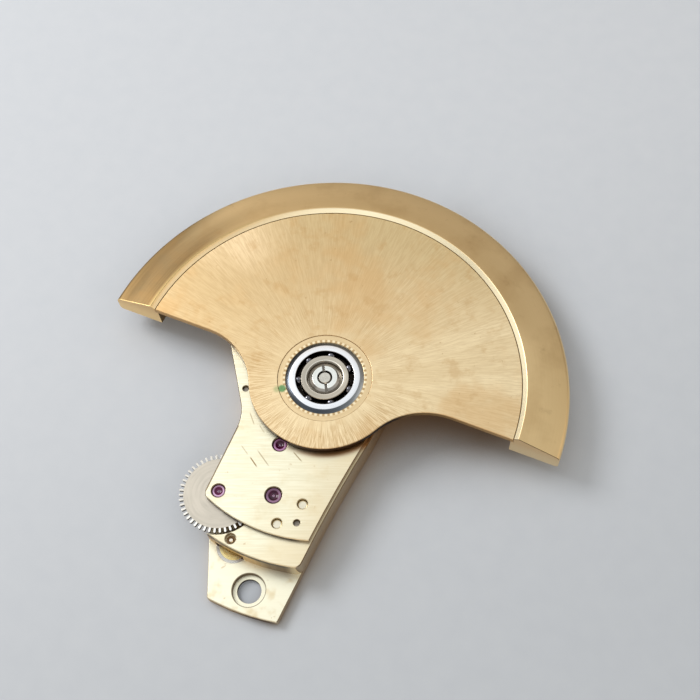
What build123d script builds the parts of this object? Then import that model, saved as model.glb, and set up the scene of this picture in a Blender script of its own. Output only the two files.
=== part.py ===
from build123d import *

import math
import os

os.makedirs("parts", exist_ok=True)

# Automatic watch rotor on its ball bearing, with the bridge and the winding train under it.
# The origin is on the rotor's axis at the bridge's underside. +Z points up to the rotor, and
# +Y towards the rotor's heavy rim at rest. Lengths are in millimetres, angles in degrees.

# Rotor: a thin plate with a round hub, inside a heavy half ring
rotor_r = 12.5
rotor_edge_y = 0.31
hub_r = 3.93
neck_r = 3.64
rim_w = 2.44
plate_t = 0.32
plate_edge_chamfer = 0.03
rim_seam = 0.04
rim_ledge = 0.13
rim_crest_rise = 0.20
rim_bevel_w = 0.26
rim_slope_drop = 0.60
rim_depth = 1.08
rim_outer_round = 0.28
rim_crest_round = 0.05
rim_foot_chamfer = 0.12

# Hub bush: the staked brass ring between the plate and the bearing
bush_r = 2.44
bush_groove = 0.015
bush_sink = 0.04
bush_flange_r = 2.75
bush_flange_t = 0.14
stake_count = 50
stake_r = 0.045
stake_circle_r = 2.15
stake_depth = 0.09

# Ball bearing: seven balls between an outer ring and two cones
ball_count = 7
ball_r = 0.275
ball_circle_r = 1.37
ball_start_deg = -157.0
ball_play = 0.025
ball_below_top = 0.35
ring_in_r = 1.50
ring_face_w = 0.30
ring_out_r = 2.03
ring_rise = 0.02
ring_bevel_drop = 0.09
ring_flange_r = 2.30
ring_flange_t = 0.16
ring_neck_r = 1.74
cone_r = 1.24
cone_flat_w = 0.29
cone_dish_depth = 0.24
cone_below_balls = 0.63
cage_wall = 0.14
cage_ring_t = 0.14
cage_drop = 0.13
cage_play = 0.03

# Hollow slotted screw, its post and the pin in its middle
screw_head_r = 0.64
screw_skirt_r = 0.86
screw_skirt_drop = 0.15
screw_hollow_r = 0.385
screw_head_t = 0.22
screw_slot_w = 0.14
screw_slot_depth = 0.11
screw_slot_deg = 120.6
screw_shank_r = 0.50
screw_reach = 1.10
thread_play = 0.01
post_r = 1.10
post_foot_r = 0.80
post_bore_floor = 0.42
pin_r = 0.345
pin_below_top = 0.05
pin_tip_chamfer = 0.06

# Bridge plates, and the spaces between them
base_t = 0.50
top_t = 0.30
rotor_gap = 0.23
lower_gap = 0.12
level_gap = 0.16
cover_room = 0.12
upper_gap = 0.07
wheel_t = 0.18
drive_gear_t = 0.26

# Bridge outline, seen from above
tongue_arc_r = 12.23
body_arc_r = 9.78
top_arc_r = 8.48
tongue_left_x = -1.13
tongue_right_x = 2.55
tongue_corner_r = 0.12
waist_x = 2.67
waist_y = -9.68
right_mid_x = 2.90
right_mid_y = -6.00
right_high_x = 3.34
right_high_y = -2.10
right_top_x = 3.60
right_top_y = 1.00
left_edge_x = -3.19
left_low_y = -7.62
left_bend_y = -3.27
left_bend_r = 2.20
body_corner_r = 0.40
top_corner_r = 0.30
top_ledge = 0.11
plate_chamfer = 0.04

# Arms and feet that the rotor hides, each foot like the tongue's end
arm_root_r = 3.30
foot_r = 1.45
foot_step_gap = 0.15
left_foot_reach = 8.55
left_foot_deg = 145.6
right_foot_reach = 7.64
right_foot_deg = 56.0
arm_fillet_r = 1.80
fixing_x = 0.60
fixing_inset = 1.18
fixing_hole_r = 0.60
fixing_bore_r = 0.83
fixing_bore_depth = 0.27

# Arbor centres
reverser_x = -0.75
reverser_y = -4.04
intermediate_x = 0.07
intermediate_y = -6.60
winding_x = -2.57
winding_y = -7.41

# Gear train, from the rotor's gear to the wheel that stands out at the side
rotor_gear_teeth = 58
reverser_teeth = 45
reverser_leaves = 12
intermediate_teeth = 52
intermediate_leaves = 20
winding_teeth = 47
tip_share = 1.30
root_share = 1.55
tooth_share = 0.42
wheel_room = 0.13
reverser_room = 0.20
winding_room = 0.085
gear_clearance = 0.08
leaf_overhang = 0.04

# Arbors and jewels
arbor_r = 0.24
pivot_r = 0.07
pivot_play = 0.012
collar_r = 0.45
collar_t = 0.20
window_count = 4
window_r = 0.42
window_circle_r = 1.20
arbor_shake = 0.03
jewel_t = 0.22
jewel_sink = 0.07
jewel_cup_share = 0.55
jewel_cup_depth = 0.06
jewel_seat_chamfer = 0.04
reverser_jewel_r = 0.36
intermediate_jewel_r = 0.41
winding_jewel_r = 0.33

# One-way clutch in the reverser wheel
clutch_recess_r = 1.30
clutch_web_t = 0.10
clutch_lid_r = 1.45
clutch_lid_t = 0.07
ratchet_r = 0.62
ratchet_teeth = 16
ratchet_tooth_depth = 0.09
clutch_play = 0.02
click_pivot_r = 0.12
click_tip_r = 0.05
click_circle_r = 1.08
click_tip_gap = 0.015
click_sweep_deg = 46.0
click_start_deg = 20.0
click_count = 2

# Fasteners and pins
plate_screw_1_x = 1.59
plate_screw_1_y = -6.48
plate_screw_2_x = 0.83
plate_screw_2_y = -7.85
plate_screw_r = 0.26
plate_screw_head_r = 0.32
plate_screw_head_t = 0.16
plate_screw_sink = 0.14
fastener_play = 0.01
fastener_tip_round = 0.09
through_left_reach = 5.25
through_left_deg = 158.0
through_right_reach = 4.95
through_right_deg = 55.0
through_head_r = 0.50
through_head_t = 0.22
through_slot_w = 0.13
through_slot_depth = 0.09
through_sink = 0.04
steady_1_x = 1.72
steady_1_y = -7.46
steady_2_x = -3.69
steady_2_y = -1.88
steady_r = 0.175
steady_reach = 0.55
steady_sink = 0.14
stud_x = -1.02
stud_y = -9.33
stud_flange_r = 0.72
stud_ring_w = 0.16
stud_pocket_h = 0.55
stud_shank_r = 0.24
stud_tip_r = 0.14
stud_tip_sink = 0.16
stud_hole_r = 0.28
stud_hole_depth = 0.30

# Heights, from the underside up
base_top = base_t
low_wheel_z = base_top + lower_gap
drive_z = low_wheel_z + wheel_t + level_gap
winding_z = drive_z + drive_gear_t + cover_room + level_gap
middle_top = winding_z + wheel_t + upper_gap
middle_t = middle_top - base_top
top_top = middle_top + top_t
plate_z = top_top + rotor_gap
plate_top = plate_z + plate_t
floor_z = drive_z - gear_clearance
ball_z = plate_top - ball_below_top
ring_bottom = drive_z - gear_clearance / 2
ring_top = plate_top + ring_rise
cone_foot_z = ball_z - cone_below_balls
upper_jewel_z = top_top - jewel_sink - jewel_t
lower_jewel_z = jewel_sink
groove_r = ball_r + ball_play
plate_r = rotor_r - rim_w

# Places, as points on the bridge
axis_at = (0, 0)
reverser_at = (reverser_x, reverser_y)
intermediate_at = (intermediate_x, intermediate_y)
winding_at = (winding_x, winding_y)
fixing_at = (fixing_x, fixing_inset - tongue_arc_r)
stud_at = (stud_x, stud_y)
plate_screws_at = [(plate_screw_1_x, plate_screw_1_y), (plate_screw_2_x, plate_screw_2_y)]
steady_pins_at = [(steady_1_x, steady_1_y), (steady_2_x, steady_2_y)]


def polar(radius, degrees, centre=(0, 0)):
    """Point at this radius and angle round a centre."""
    turn = math.radians(degrees)
    return (centre[0] + radius * math.cos(turn), centre[1] + radius * math.sin(turn))


def heading(start, end):
    """Angle of the direction from one point to another."""
    return math.degrees(math.atan2(end[1] - start[1], end[0] - start[0]))


def pitch_radii(start, end, first_teeth, second_teeth):
    """Pitch radii of two meshing gears on these centres."""
    apart = math.dist(start, end)
    first = apart * first_teeth / (first_teeth + second_teeth)
    return first, apart - first


def tip_radius(pitch_r, teeth):
    """Outer radius of a gear's teeth."""
    return pitch_r * (1 + 2 * tip_share / teeth)


left_foot_at = polar(left_foot_reach, left_foot_deg)
right_foot_at = polar(right_foot_reach, right_foot_deg)
feet_at = [left_foot_at, right_foot_at]
through_screws_at = [
    polar(through_left_reach, through_left_deg),
    polar(through_right_reach, through_right_deg),
]

rotor_gear_r, reverser_r = pitch_radii(axis_at, reverser_at, rotor_gear_teeth, reverser_teeth)
reverser_leaf_r, intermediate_r = pitch_radii(
    reverser_at, intermediate_at, reverser_leaves, intermediate_teeth
)
intermediate_leaf_r, winding_r = pitch_radii(
    intermediate_at, winding_at, intermediate_leaves, winding_teeth
)
rotor_gear_room_r = tip_radius(rotor_gear_r, rotor_gear_teeth) + wheel_room
reverser_room_r = tip_radius(reverser_r, reverser_teeth) + reverser_room
reverser_leaf_room_r = tip_radius(reverser_leaf_r, reverser_leaves) + wheel_room
intermediate_room_r = tip_radius(intermediate_r, intermediate_teeth) + wheel_room
intermediate_leaf_room_r = tip_radius(intermediate_leaf_r, intermediate_leaves) + wheel_room
winding_room_r = tip_radius(winding_r, winding_teeth) + winding_room


def save(piece, name):
    """Label a finished piece and write its file."""
    piece.label = name
    export_step(piece, f"parts/{name}.step")


def gear_face(teeth, pitch_r, tooth_deg):
    """Gear outline about its own centre, with round-tipped teeth, one of them at tooth_deg."""
    module = 2 * pitch_r / teeth
    root_r = pitch_r - root_share * module
    half_w = tooth_share * math.pi * module / 2
    shoulder_r = pitch_r + tip_share * module - half_w
    step = 360 / teeth
    root_half = math.degrees(half_w / pitch_r)
    shoulder_half = math.degrees(half_w / shoulder_r)
    with BuildSketch() as outline:
        with BuildLine():
            for index in range(teeth):
                middle = tooth_deg + index * step
                foot = polar(root_r, middle - root_half)
                shoulder = polar(shoulder_r, middle - shoulder_half)
                crown = polar(shoulder_r + half_w, middle)
                far_shoulder = polar(shoulder_r, middle + shoulder_half)
                far_foot = polar(root_r, middle + root_half)
                gap = polar(root_r, middle + step / 2)
                next_foot = polar(root_r, middle + step - root_half)
                Line(foot, shoulder)
                ThreePointArc(shoulder, crown, far_shoulder)
                Line(far_shoulder, far_foot)
                ThreePointArc(far_foot, gap, next_foot)
        make_face()
    return outline.sketch


def turned(centre, steps):
    """Piece turned about a vertical line: each step is a radius and its two heights."""
    with BuildPart() as piece:
        for radius, low, high in steps:
            with BuildSketch(Plane.XY.offset(low)):
                with Locations(centre):
                    Circle(radius)
            extrude(amount=high - low)
    return piece.part


def ring_piece(points):
    """Ring about the rotor's axis, from the radius and height points of its section."""
    with BuildPart() as piece:
        with BuildSketch(Plane.XZ):
            with BuildLine():
                Polyline(*points, close=True)
            make_face()
        revolve(axis=Axis.Z)
    return piece.part


def beyond(radius):
    """Everything on the tongue's side that lies further out than this radius."""
    with BuildSketch() as far:
        Rectangle(4 * radius, 2 * radius, align=(Align.CENTER, Align.MAX))
        Circle(radius, mode=Mode.SUBTRACT)
    return far.sketch


def arc_point(radius, x):
    """Point on an arc round the rotor's axis, on the tongue's side."""
    return (x, -math.sqrt(radius**2 - x**2))


def foot_tangent(corner, foot):
    """Point where a line from the corner grazes the left side of a foot."""
    apart = math.dist(corner, foot)
    turn = heading(corner, foot) + math.degrees(math.asin(foot_r / apart))
    return polar(math.sqrt(apart**2 - foot_r**2), turn, corner)


def arm_face(foot):
    """Tapered arm from the rotor's axis out to a foot."""
    apart = math.dist(axis_at, foot)
    spread = math.degrees(math.acos((arm_root_r - foot_r) / apart))
    ahead = heading(axis_at, foot)
    with BuildSketch() as arm:
        Circle(arm_root_r)
        with Locations(foot):
            Circle(foot_r)
        with BuildLine():
            Polyline(
                polar(arm_root_r, ahead - spread),
                polar(foot_r, ahead - spread, foot),
                polar(foot_r, ahead + spread, foot),
                polar(arm_root_r, ahead + spread),
                close=True,
            )
        make_face()
    return arm.sketch


def bridge_outline(inset):
    """Bridge seen from above, its right edge moved in by the inset."""
    bend = (left_edge_x, left_bend_y)
    tongue_left = arc_point(tongue_arc_r, tongue_left_x)
    tongue_right = arc_point(tongue_arc_r, tongue_right_x - inset)
    tongue_mid = arc_point(tongue_arc_r, (tongue_left_x + tongue_right_x - inset) / 2)
    waist = (waist_x - inset, waist_y)
    right_high = (right_high_x - inset, right_high_y)
    arms = [arm_face(foot) for foot in feet_at]
    with BuildSketch() as outline:
        with BuildLine():
            ThreePointArc(tongue_left, tongue_mid, tongue_right)
            Line(tongue_right, waist)
            ThreePointArc(waist, (right_mid_x - inset, right_mid_y), right_high)
            Polyline(
                right_high,
                (right_top_x - inset, right_top_y),
                axis_at,
                left_foot_at,
                foot_tangent(bend, left_foot_at),
                bend,
                (left_edge_x, left_low_y),
                tongue_left,
            )
        make_face()
        add(arms)
        corners = outline.vertices()
        fillet(corners.sort_by_distance(bend)[0], radius=left_bend_r)
        fork = polar(arm_root_r, (left_foot_deg + right_foot_deg) / 2)
        fillet(outline.vertices().sort_by_distance(fork)[:1], radius=arm_fillet_r)
        for corner in (tongue_left, tongue_right):
            fillet(outline.vertices().sort_by_distance(corner)[0], radius=tongue_corner_r)
    return outline.sketch


def jewel(centre, radius, low_z, cup_on_top):
    """Ruby bearing with a pivot hole and a dish on its outer face."""
    hole_r = pivot_r + pivot_play
    high_z = low_z + jewel_t
    cup_z, bottom_z = (high_z, high_z - jewel_cup_depth) if cup_on_top else (
        low_z, low_z + jewel_cup_depth
    )
    with BuildPart() as stone:
        with BuildSketch(Plane.XY.offset(low_z)):
            with Locations(centre):
                Circle(radius)
                Circle(hole_r, mode=Mode.SUBTRACT)
        extrude(amount=jewel_t)
        with BuildSketch(Plane.XY.offset(cup_z)):
            with Locations(centre):
                Circle(jewel_cup_share * radius)
        with BuildSketch(Plane.XY.offset(bottom_z)):
            with Locations(centre):
                Circle(hole_r)
        loft(mode=Mode.SUBTRACT)
    return stone.part


def slotted_screws(places, foot_z, head_r, head_t, slot_w, slot_depth):
    """Screws that enter from below, their heads slotted underneath and their tips rounded."""
    with BuildPart() as screws:
        with BuildSketch(Plane.XY.offset(foot_z)):
            with Locations(*places):
                Circle(head_r)
        extrude(amount=head_t)
        with BuildSketch(Plane.XY.offset(foot_z + head_t)):
            with Locations(*places):
                Circle(plate_screw_r)
        extrude(amount=top_top - plate_screw_sink - foot_z - head_t)
        fillet(screws.edges().group_by(Axis.Z)[-1], radius=fastener_tip_round)
        with BuildSketch(Plane.XY.offset(foot_z)):
            with Locations(*places):
                Rectangle(slot_w, 2 * (head_r + slot_w))
        extrude(amount=slot_depth, mode=Mode.SUBTRACT)
    return screws.part


def arbor(centre):
    """Arbor between its two jewels, with a thin pivot at each end."""
    low_shoulder = lower_jewel_z + jewel_t + arbor_shake
    high_shoulder = upper_jewel_z - arbor_shake
    return turned(centre, [
        (pivot_r, lower_jewel_z + jewel_cup_depth, low_shoulder),
        (arbor_r, low_shoulder, high_shoulder),
        (pivot_r, high_shoulder, upper_jewel_z + jewel_t - jewel_cup_depth),
    ])


# Bridge plates

base_outline = bridge_outline(0)
top_outline = bridge_outline(top_ledge)
upper_room = foot_r + foot_step_gap
jewels_at = [
    (reverser_at, reverser_jewel_r),
    (intermediate_at, intermediate_jewel_r),
    (winding_at, winding_jewel_r),
]

with BuildPart() as base_plate:
    with BuildSketch():
        add(base_outline)
    extrude(amount=base_t)
    rims = base_plate.edges().group_by(Axis.Z)
    chamfer([*rims[0], *rims[-1]], length=plate_chamfer)
    with Locations(*[(*spot, base_t) for spot in [fixing_at, *feet_at]]):
        CounterBoreHole(fixing_hole_r, fixing_bore_r, fixing_bore_depth, depth=base_t)
    for centre, radius in jewels_at:
        with Locations((*centre, base_t)):
            Hole(radius, depth=base_t)
    with Locations((*stud_at, base_t)):
        Hole(stud_flange_r + stud_ring_w, depth=base_t)
    with Locations((*axis_at, base_t)):
        Hole(post_foot_r, depth=base_t)
    with Locations(*[(*spot, base_t) for spot in through_screws_at]):
        Hole(plate_screw_r + fastener_play, depth=base_t)
    with BuildSketch():
        with Locations(*through_screws_at):
            Circle(through_head_r + fastener_play)
    extrude(amount=through_head_t + through_sink, mode=Mode.SUBTRACT)
save(base_plate.part, "base_plate")

with BuildPart() as middle_plate:
    with BuildSketch(Plane.XY.offset(base_top)) as middle_sketch:
        add(base_outline)
        add(beyond(body_arc_r), mode=Mode.SUBTRACT)
        with Locations(*feet_at):
            Circle(upper_room, mode=Mode.SUBTRACT)
        body_corner = arc_point(body_arc_r, waist_x)
        fillet(middle_sketch.vertices().sort_by_distance(body_corner)[0], radius=body_corner_r)
        with Locations(winding_at):
            Circle(winding_room_r, mode=Mode.SUBTRACT)
    extrude(amount=middle_t)
    chamfer(middle_plate.edges().group_by(Axis.Z)[-1], length=plate_chamfer)
    with BuildSketch(Plane.XY.offset(floor_z)):
        Circle(rotor_gear_room_r)
        with Locations(reverser_at):
            Circle(reverser_room_r)
    extrude(amount=middle_top - floor_z, mode=Mode.SUBTRACT)
    with BuildSketch(Plane.XY.offset(base_top)):
        with Locations(intermediate_at):
            Circle(intermediate_room_r)
        with Locations(reverser_at):
            Circle(reverser_leaf_room_r)
        Circle(post_r + fastener_play)
    extrude(amount=floor_z - base_top, mode=Mode.SUBTRACT)
    with Locations((*intermediate_at, middle_top)):
        Hole(intermediate_leaf_room_r, depth=middle_t)
    with BuildSketch(Plane.XY.offset(floor_z)):
        with Locations(*plate_screws_at):
            Circle(plate_screw_head_r + fastener_play)
    extrude(amount=plate_screw_head_t, mode=Mode.SUBTRACT)
    with Locations(*[(*spot, middle_top) for spot in [*plate_screws_at, *through_screws_at]]):
        Hole(plate_screw_r + fastener_play, depth=middle_t)
    with Locations(*[(*spot, middle_top) for spot in steady_pins_at]):
        Hole(steady_r, depth=steady_reach)
    with Locations((*stud_at, middle_top)):
        CounterBoreHole(stud_shank_r, stud_hole_r, stud_hole_depth, depth=middle_t)
    with BuildSketch(Plane.XY.offset(base_top)):
        with Locations(stud_at):
            Circle(stud_flange_r + stud_ring_w)
    extrude(amount=stud_pocket_h, mode=Mode.SUBTRACT)
save(middle_plate.part, "middle_plate")

with BuildPart() as top_plate:
    with BuildSketch(Plane.XY.offset(middle_top)) as top_sketch:
        add(top_outline)
        add(beyond(top_arc_r), mode=Mode.SUBTRACT)
        with Locations(*feet_at):
            Circle(upper_room, mode=Mode.SUBTRACT)
        top_corner = arc_point(top_arc_r, left_edge_x)
        fillet(top_sketch.vertices().sort_by_distance(top_corner)[0], radius=top_corner_r)
    extrude(amount=top_t)
    chamfer(top_plate.edges().group_by(Axis.Z)[-1], length=plate_chamfer)
    with Locations((*axis_at, top_top)):
        Hole(rotor_gear_room_r, depth=top_t)
    for centre, radius in jewels_at:
        with Locations((*centre, top_top)):
            CounterSinkHole(radius, radius + jewel_seat_chamfer, top_t, counter_sink_angle=90)
    with Locations(*[(*spot, top_top) for spot in [*plate_screws_at, *through_screws_at]]):
        Hole(plate_screw_r + fastener_play, depth=top_t)
    with Locations(*[(*spot, top_top) for spot in steady_pins_at]):
        Hole(steady_r, depth=top_t)
save(top_plate.part, "top_plate")

# Fasteners and pins of the bridge

plate_screws = slotted_screws(
    plate_screws_at, floor_z, plate_screw_head_r, plate_screw_head_t, screw_slot_w, screw_slot_depth
)
save(plate_screws, "plate_screws")

through_screws = slotted_screws(
    through_screws_at, through_sink, through_head_r, through_head_t, through_slot_w,
    through_slot_depth,
)
save(through_screws, "through_screws")

with BuildPart() as steady_pins:
    with BuildSketch(Plane.XY.offset(middle_top - steady_reach)):
        with Locations(*steady_pins_at):
            Circle(steady_r)
    extrude(amount=steady_reach + top_t - steady_sink)
    chamfer(steady_pins.edges().group_by(Axis.Z)[-1], length=plate_chamfer)
save(steady_pins.part, "steady_pins")

with BuildPart() as steady_stud:
    add(turned(stud_at, [
        (stud_flange_r, 0, base_top),
        (stud_shank_r, base_top, middle_top - stud_hole_depth),
        (stud_tip_r, middle_top - stud_hole_depth, middle_top - stud_tip_sink),
    ]))
    chamfer(steady_stud.edges().group_by(Axis.Z)[-1], length=plate_chamfer)
save(steady_stud.part, "steady_stud")

with BuildPart() as stud_ring:
    with BuildSketch():
        with Locations(stud_at):
            Circle(stud_flange_r + stud_ring_w)
            Circle(stud_flange_r, mode=Mode.SUBTRACT)
    extrude(amount=base_top)
save(stud_ring.part, "stud_ring")

# Bearing post, its pin and the hollow screw that holds the cones

bore_floor_z = base_top + post_bore_floor
screw_seat_z = plate_top - cone_dish_depth
screw_low_z = screw_seat_z - screw_reach
cone_in_r = screw_shank_r + thread_play
dish_r = cone_r - cone_flat_w

with BuildPart() as bearing_post:
    add(turned(axis_at, [(post_foot_r, 0, base_top), (post_r, base_top, cone_foot_z)]))
    with BuildSketch(Plane.XY.offset(bore_floor_z)):
        Circle(screw_shank_r)
    extrude(amount=cone_foot_z - bore_floor_z, mode=Mode.SUBTRACT)
    with BuildSketch():
        Circle(pin_r)
    extrude(amount=bore_floor_z, mode=Mode.SUBTRACT)
save(bearing_post.part, "bearing_post")

with BuildPart() as centre_pin:
    with BuildSketch():
        Circle(pin_r)
    extrude(amount=plate_top - pin_below_top)
    chamfer(centre_pin.edges().group_by(Axis.Z)[-1], length=pin_tip_chamfer)
save(centre_pin.part, "centre_pin")


def grooved(points):
    """Bearing race: a ring with the balls' groove cut into it."""
    with BuildPart() as race:
        add(ring_piece(points))
        with BuildSketch(Plane.XZ):
            with Locations((ball_circle_r, ball_z)):
                Circle(groove_r)
        revolve(axis=Axis.Z, mode=Mode.SUBTRACT)
    return race.part


bearing_lower_cone = grooved([
    (cone_in_r, cone_foot_z),
    (cone_r, cone_foot_z),
    (cone_r, ball_z),
    (cone_in_r, ball_z),
])
save(bearing_lower_cone, "bearing_lower_cone")

bearing_upper_cone = grooved([
    (cone_in_r, ball_z),
    (cone_r, ball_z),
    (cone_r, plate_top),
    (dish_r, plate_top),
    (screw_skirt_r + thread_play, screw_seat_z),
    (cone_in_r, screw_seat_z),
])
save(bearing_upper_cone, "bearing_upper_cone")

screw_top = screw_seat_z + screw_head_t
with BuildPart() as bearing_screw:
    add(ring_piece([
        (screw_hollow_r, screw_low_z),
        (screw_shank_r, screw_low_z),
        (screw_shank_r, screw_seat_z),
        (screw_skirt_r, screw_seat_z),
        (screw_skirt_r, screw_top - screw_skirt_drop),
        (screw_head_r, screw_top),
        (screw_hollow_r, screw_top),
    ]))
    with BuildSketch(Plane.XY.offset(screw_top)):
        Rectangle(2 * (screw_skirt_r + screw_slot_w), screw_slot_w, rotation=screw_slot_deg)
    extrude(amount=-screw_slot_depth, mode=Mode.SUBTRACT)
save(bearing_screw.part, "bearing_screw")

# Balls and cage

with BuildPart() as bearing_balls:
    with Locations((*axis_at, ball_z)):
        with PolarLocations(ball_circle_r, ball_count, start_angle=ball_start_deg):
            Sphere(ball_r)
save(bearing_balls.part, "bearing_balls")

cage_mid_r = (cone_r + ring_in_r) / 2
cage_floor_z = ball_z - ball_r - cage_drop
with BuildPart() as ball_cage:
    with BuildSketch(Plane.XY.offset(cage_floor_z - cage_ring_t)):
        Circle(cage_mid_r + cage_wall / 2)
        Circle(cage_mid_r - cage_wall / 2, mode=Mode.SUBTRACT)
    extrude(amount=ball_z - cage_floor_z + cage_ring_t)
    with BuildSketch(Plane.XY.offset(cage_floor_z)):
        with PolarLocations(ball_circle_r, ball_count, start_angle=ball_start_deg):
            Circle(ball_r + cage_play)
    extrude(amount=ball_z - cage_floor_z, mode=Mode.SUBTRACT)
save(ball_cage.part, "ball_cage")

# Rotor

neck_y = rotor_edge_y - neck_r
neck_x = math.sqrt((hub_r + neck_r) ** 2 - neck_y**2)
rim_in_r = plate_r + rim_seam
rim_low_z = plate_z - rim_depth
crest_at = (rim_in_r + rim_bevel_w, plate_top + rim_crest_rise)
rim_edge_at = (rotor_r, plate_top + rim_crest_rise - rim_slope_drop)
rim_foot_at = (rotor_r, rim_low_z)

with BuildPart() as rotor_plate:
    with BuildSketch(Plane.XY.offset(plate_z)):
        edge_x = math.sqrt(plate_r**2 - rotor_edge_y**2)
        neck_deg = 180 + heading(axis_at, (neck_x, neck_y))
        touch_x, touch_y = polar(neck_r, neck_deg, (neck_x, neck_y))
        bulge_x, bulge_y = polar(neck_r, (neck_deg + 90) / 2, (neck_x, neck_y))
        with BuildLine():
            ThreePointArc((edge_x, rotor_edge_y), (0, plate_r), (-edge_x, rotor_edge_y))
            Line((-edge_x, rotor_edge_y), (-neck_x, rotor_edge_y))
            ThreePointArc((-neck_x, rotor_edge_y), (-bulge_x, bulge_y), (-touch_x, touch_y))
            ThreePointArc((-touch_x, touch_y), (0, -hub_r), (touch_x, touch_y))
            ThreePointArc((touch_x, touch_y), (bulge_x, bulge_y), (neck_x, rotor_edge_y))
            Line((neck_x, rotor_edge_y), (edge_x, rotor_edge_y))
        make_face()
    extrude(amount=plate_t)
    chamfer(rotor_plate.edges().group_by(Axis.Z)[-1], length=plate_edge_chamfer)
    with Locations((*axis_at, plate_top)):
        CounterSinkHole(bush_r, bush_r + bush_groove, plate_t, counter_sink_angle=90)
save(rotor_plate.part, "rotor_plate")

with BuildPart() as rotor_rim:
    with BuildSketch(Plane.XZ) as rim_section:
        with BuildLine():
            Polyline(
                (plate_r - rim_ledge, rim_low_z),
                rim_foot_at,
                rim_edge_at,
                crest_at,
                (rim_in_r, plate_top),
                (rim_in_r, plate_z),
                (plate_r - rim_ledge, plate_z),
                close=True,
            )
        make_face()
        fillet(rim_section.vertices().sort_by_distance(crest_at)[0], radius=rim_crest_round)
        fillet(rim_section.vertices().sort_by_distance(rim_edge_at)[0], radius=rim_outer_round)
        chamfer(rim_section.vertices().sort_by_distance(rim_foot_at)[0], length=rim_foot_chamfer)
    revolve(axis=Axis.Z)
    split(bisect_by=Plane.XZ.offset(-rotor_edge_y), keep=Keep.BOTTOM)
save(rotor_rim.part, "rotor_rim")

bush_low_z = plate_z - bush_flange_t
bush_top = plate_top - bush_sink
with BuildPart() as hub_bush:
    add(ring_piece([
        (ring_out_r, bush_low_z),
        (bush_flange_r, bush_low_z),
        (bush_flange_r, plate_z),
        (bush_r, plate_z),
        (bush_r, bush_top),
        (ring_out_r, bush_top),
    ]))
    with BuildSketch(Plane.XY.offset(bush_top)):
        with PolarLocations(stake_circle_r, stake_count):
            Circle(stake_r)
    extrude(amount=-stake_depth, mode=Mode.SUBTRACT)
save(hub_bush.part, "hub_bush")

gear_top = drive_z + drive_gear_t
bearing_outer_ring = grooved([
    (ring_in_r, ring_bottom),
    (ring_neck_r, ring_bottom),
    (ring_neck_r, gear_top),
    (ring_out_r, gear_top),
    (ring_out_r, bush_low_z - ring_flange_t),
    (ring_flange_r, bush_low_z - ring_flange_t),
    (ring_flange_r, bush_low_z),
    (ring_out_r, bush_low_z),
    (ring_out_r, ring_top - ring_bevel_drop),
    (ring_in_r + ring_face_w, ring_top),
    (ring_in_r, ring_top),
])
save(bearing_outer_ring, "bearing_outer_ring")

# Gear train. Each wheel's teeth face the gaps of the gear that drives it.


def facing_gap(start, end, teeth):
    """Angle of the first tooth beside a gap that points from one arbor to another."""
    return heading(start, end) + 180 / teeth


rotor_gear_face = gear_face(rotor_gear_teeth, rotor_gear_r, heading(axis_at, reverser_at))
with BuildPart() as rotor_gear:
    with BuildSketch(Plane.XY.offset(drive_z)):
        add(rotor_gear_face)
        Circle(ring_neck_r, mode=Mode.SUBTRACT)
    extrude(amount=drive_gear_t)
save(rotor_gear.part, "rotor_gear")

reverser_gap_deg = facing_gap(reverser_at, axis_at, reverser_teeth)
reverser_face = gear_face(reverser_teeth, reverser_r, reverser_gap_deg)
clutch_floor_z = drive_z + clutch_web_t
with BuildPart() as reverser_wheel:
    with BuildSketch(Plane.XY.offset(drive_z)):
        with Locations(reverser_at):
            add(reverser_face)
            Circle(arbor_r, mode=Mode.SUBTRACT)
    extrude(amount=drive_gear_t)
    with BuildSketch(Plane.XY.offset(clutch_floor_z)):
        with Locations(reverser_at):
            Circle(clutch_recess_r)
    extrude(amount=gear_top - clutch_floor_z, mode=Mode.SUBTRACT)
save(reverser_wheel.part, "reverser_wheel")


def star_face(teeth, outer_r, depth):
    """Ratchet star with saw teeth, about its own centre."""
    step = 360 / teeth
    points = []
    for index in range(teeth):
        points.append(polar(outer_r, index * step))
        points.append(polar(outer_r - depth, index * step))
    with BuildSketch() as star:
        with BuildLine():
            Polyline(*points, close=True)
        make_face()
    return star.sketch


def pinion(centre, leaves, leaf_r, tooth_deg, low, high):
    """Arbor with a pinion cut on it between two heights."""
    leaf_face = gear_face(leaves, leaf_r, tooth_deg)
    with BuildPart() as piece:
        add(arbor(centre))
        with BuildSketch(Plane.XY.offset(low)):
            with Locations(centre):
                add(leaf_face)
        extrude(amount=high - low)
    return piece.part


def click_face(turn_deg):
    """Click lever from its pivot to the root of a ratchet tooth, about the reverser's arbor."""
    tip_reach = ratchet_r + click_tip_r + click_tip_gap
    with BuildSketch() as click:
        with Locations(polar(click_circle_r, turn_deg)):
            Circle(click_pivot_r)
        with Locations(polar(tip_reach, turn_deg + click_sweep_deg)):
            Circle(click_tip_r)
        make_hull()
    return click.sketch


wheel_heading = heading(reverser_at, intermediate_at)
star = star_face(ratchet_teeth, ratchet_r, ratchet_tooth_depth)
with BuildPart() as reverser_pinion:
    add(pinion(
        reverser_at, reverser_leaves, reverser_leaf_r, wheel_heading,
        low_wheel_z - leaf_overhang, low_wheel_z + wheel_t + leaf_overhang,
    ))
    with BuildSketch(Plane.XY.offset(clutch_floor_z + clutch_play)):
        with Locations(reverser_at):
            add(star)
    extrude(amount=gear_top - clutch_floor_z - 2 * clutch_play)
save(reverser_pinion.part, "reverser_pinion")

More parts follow.
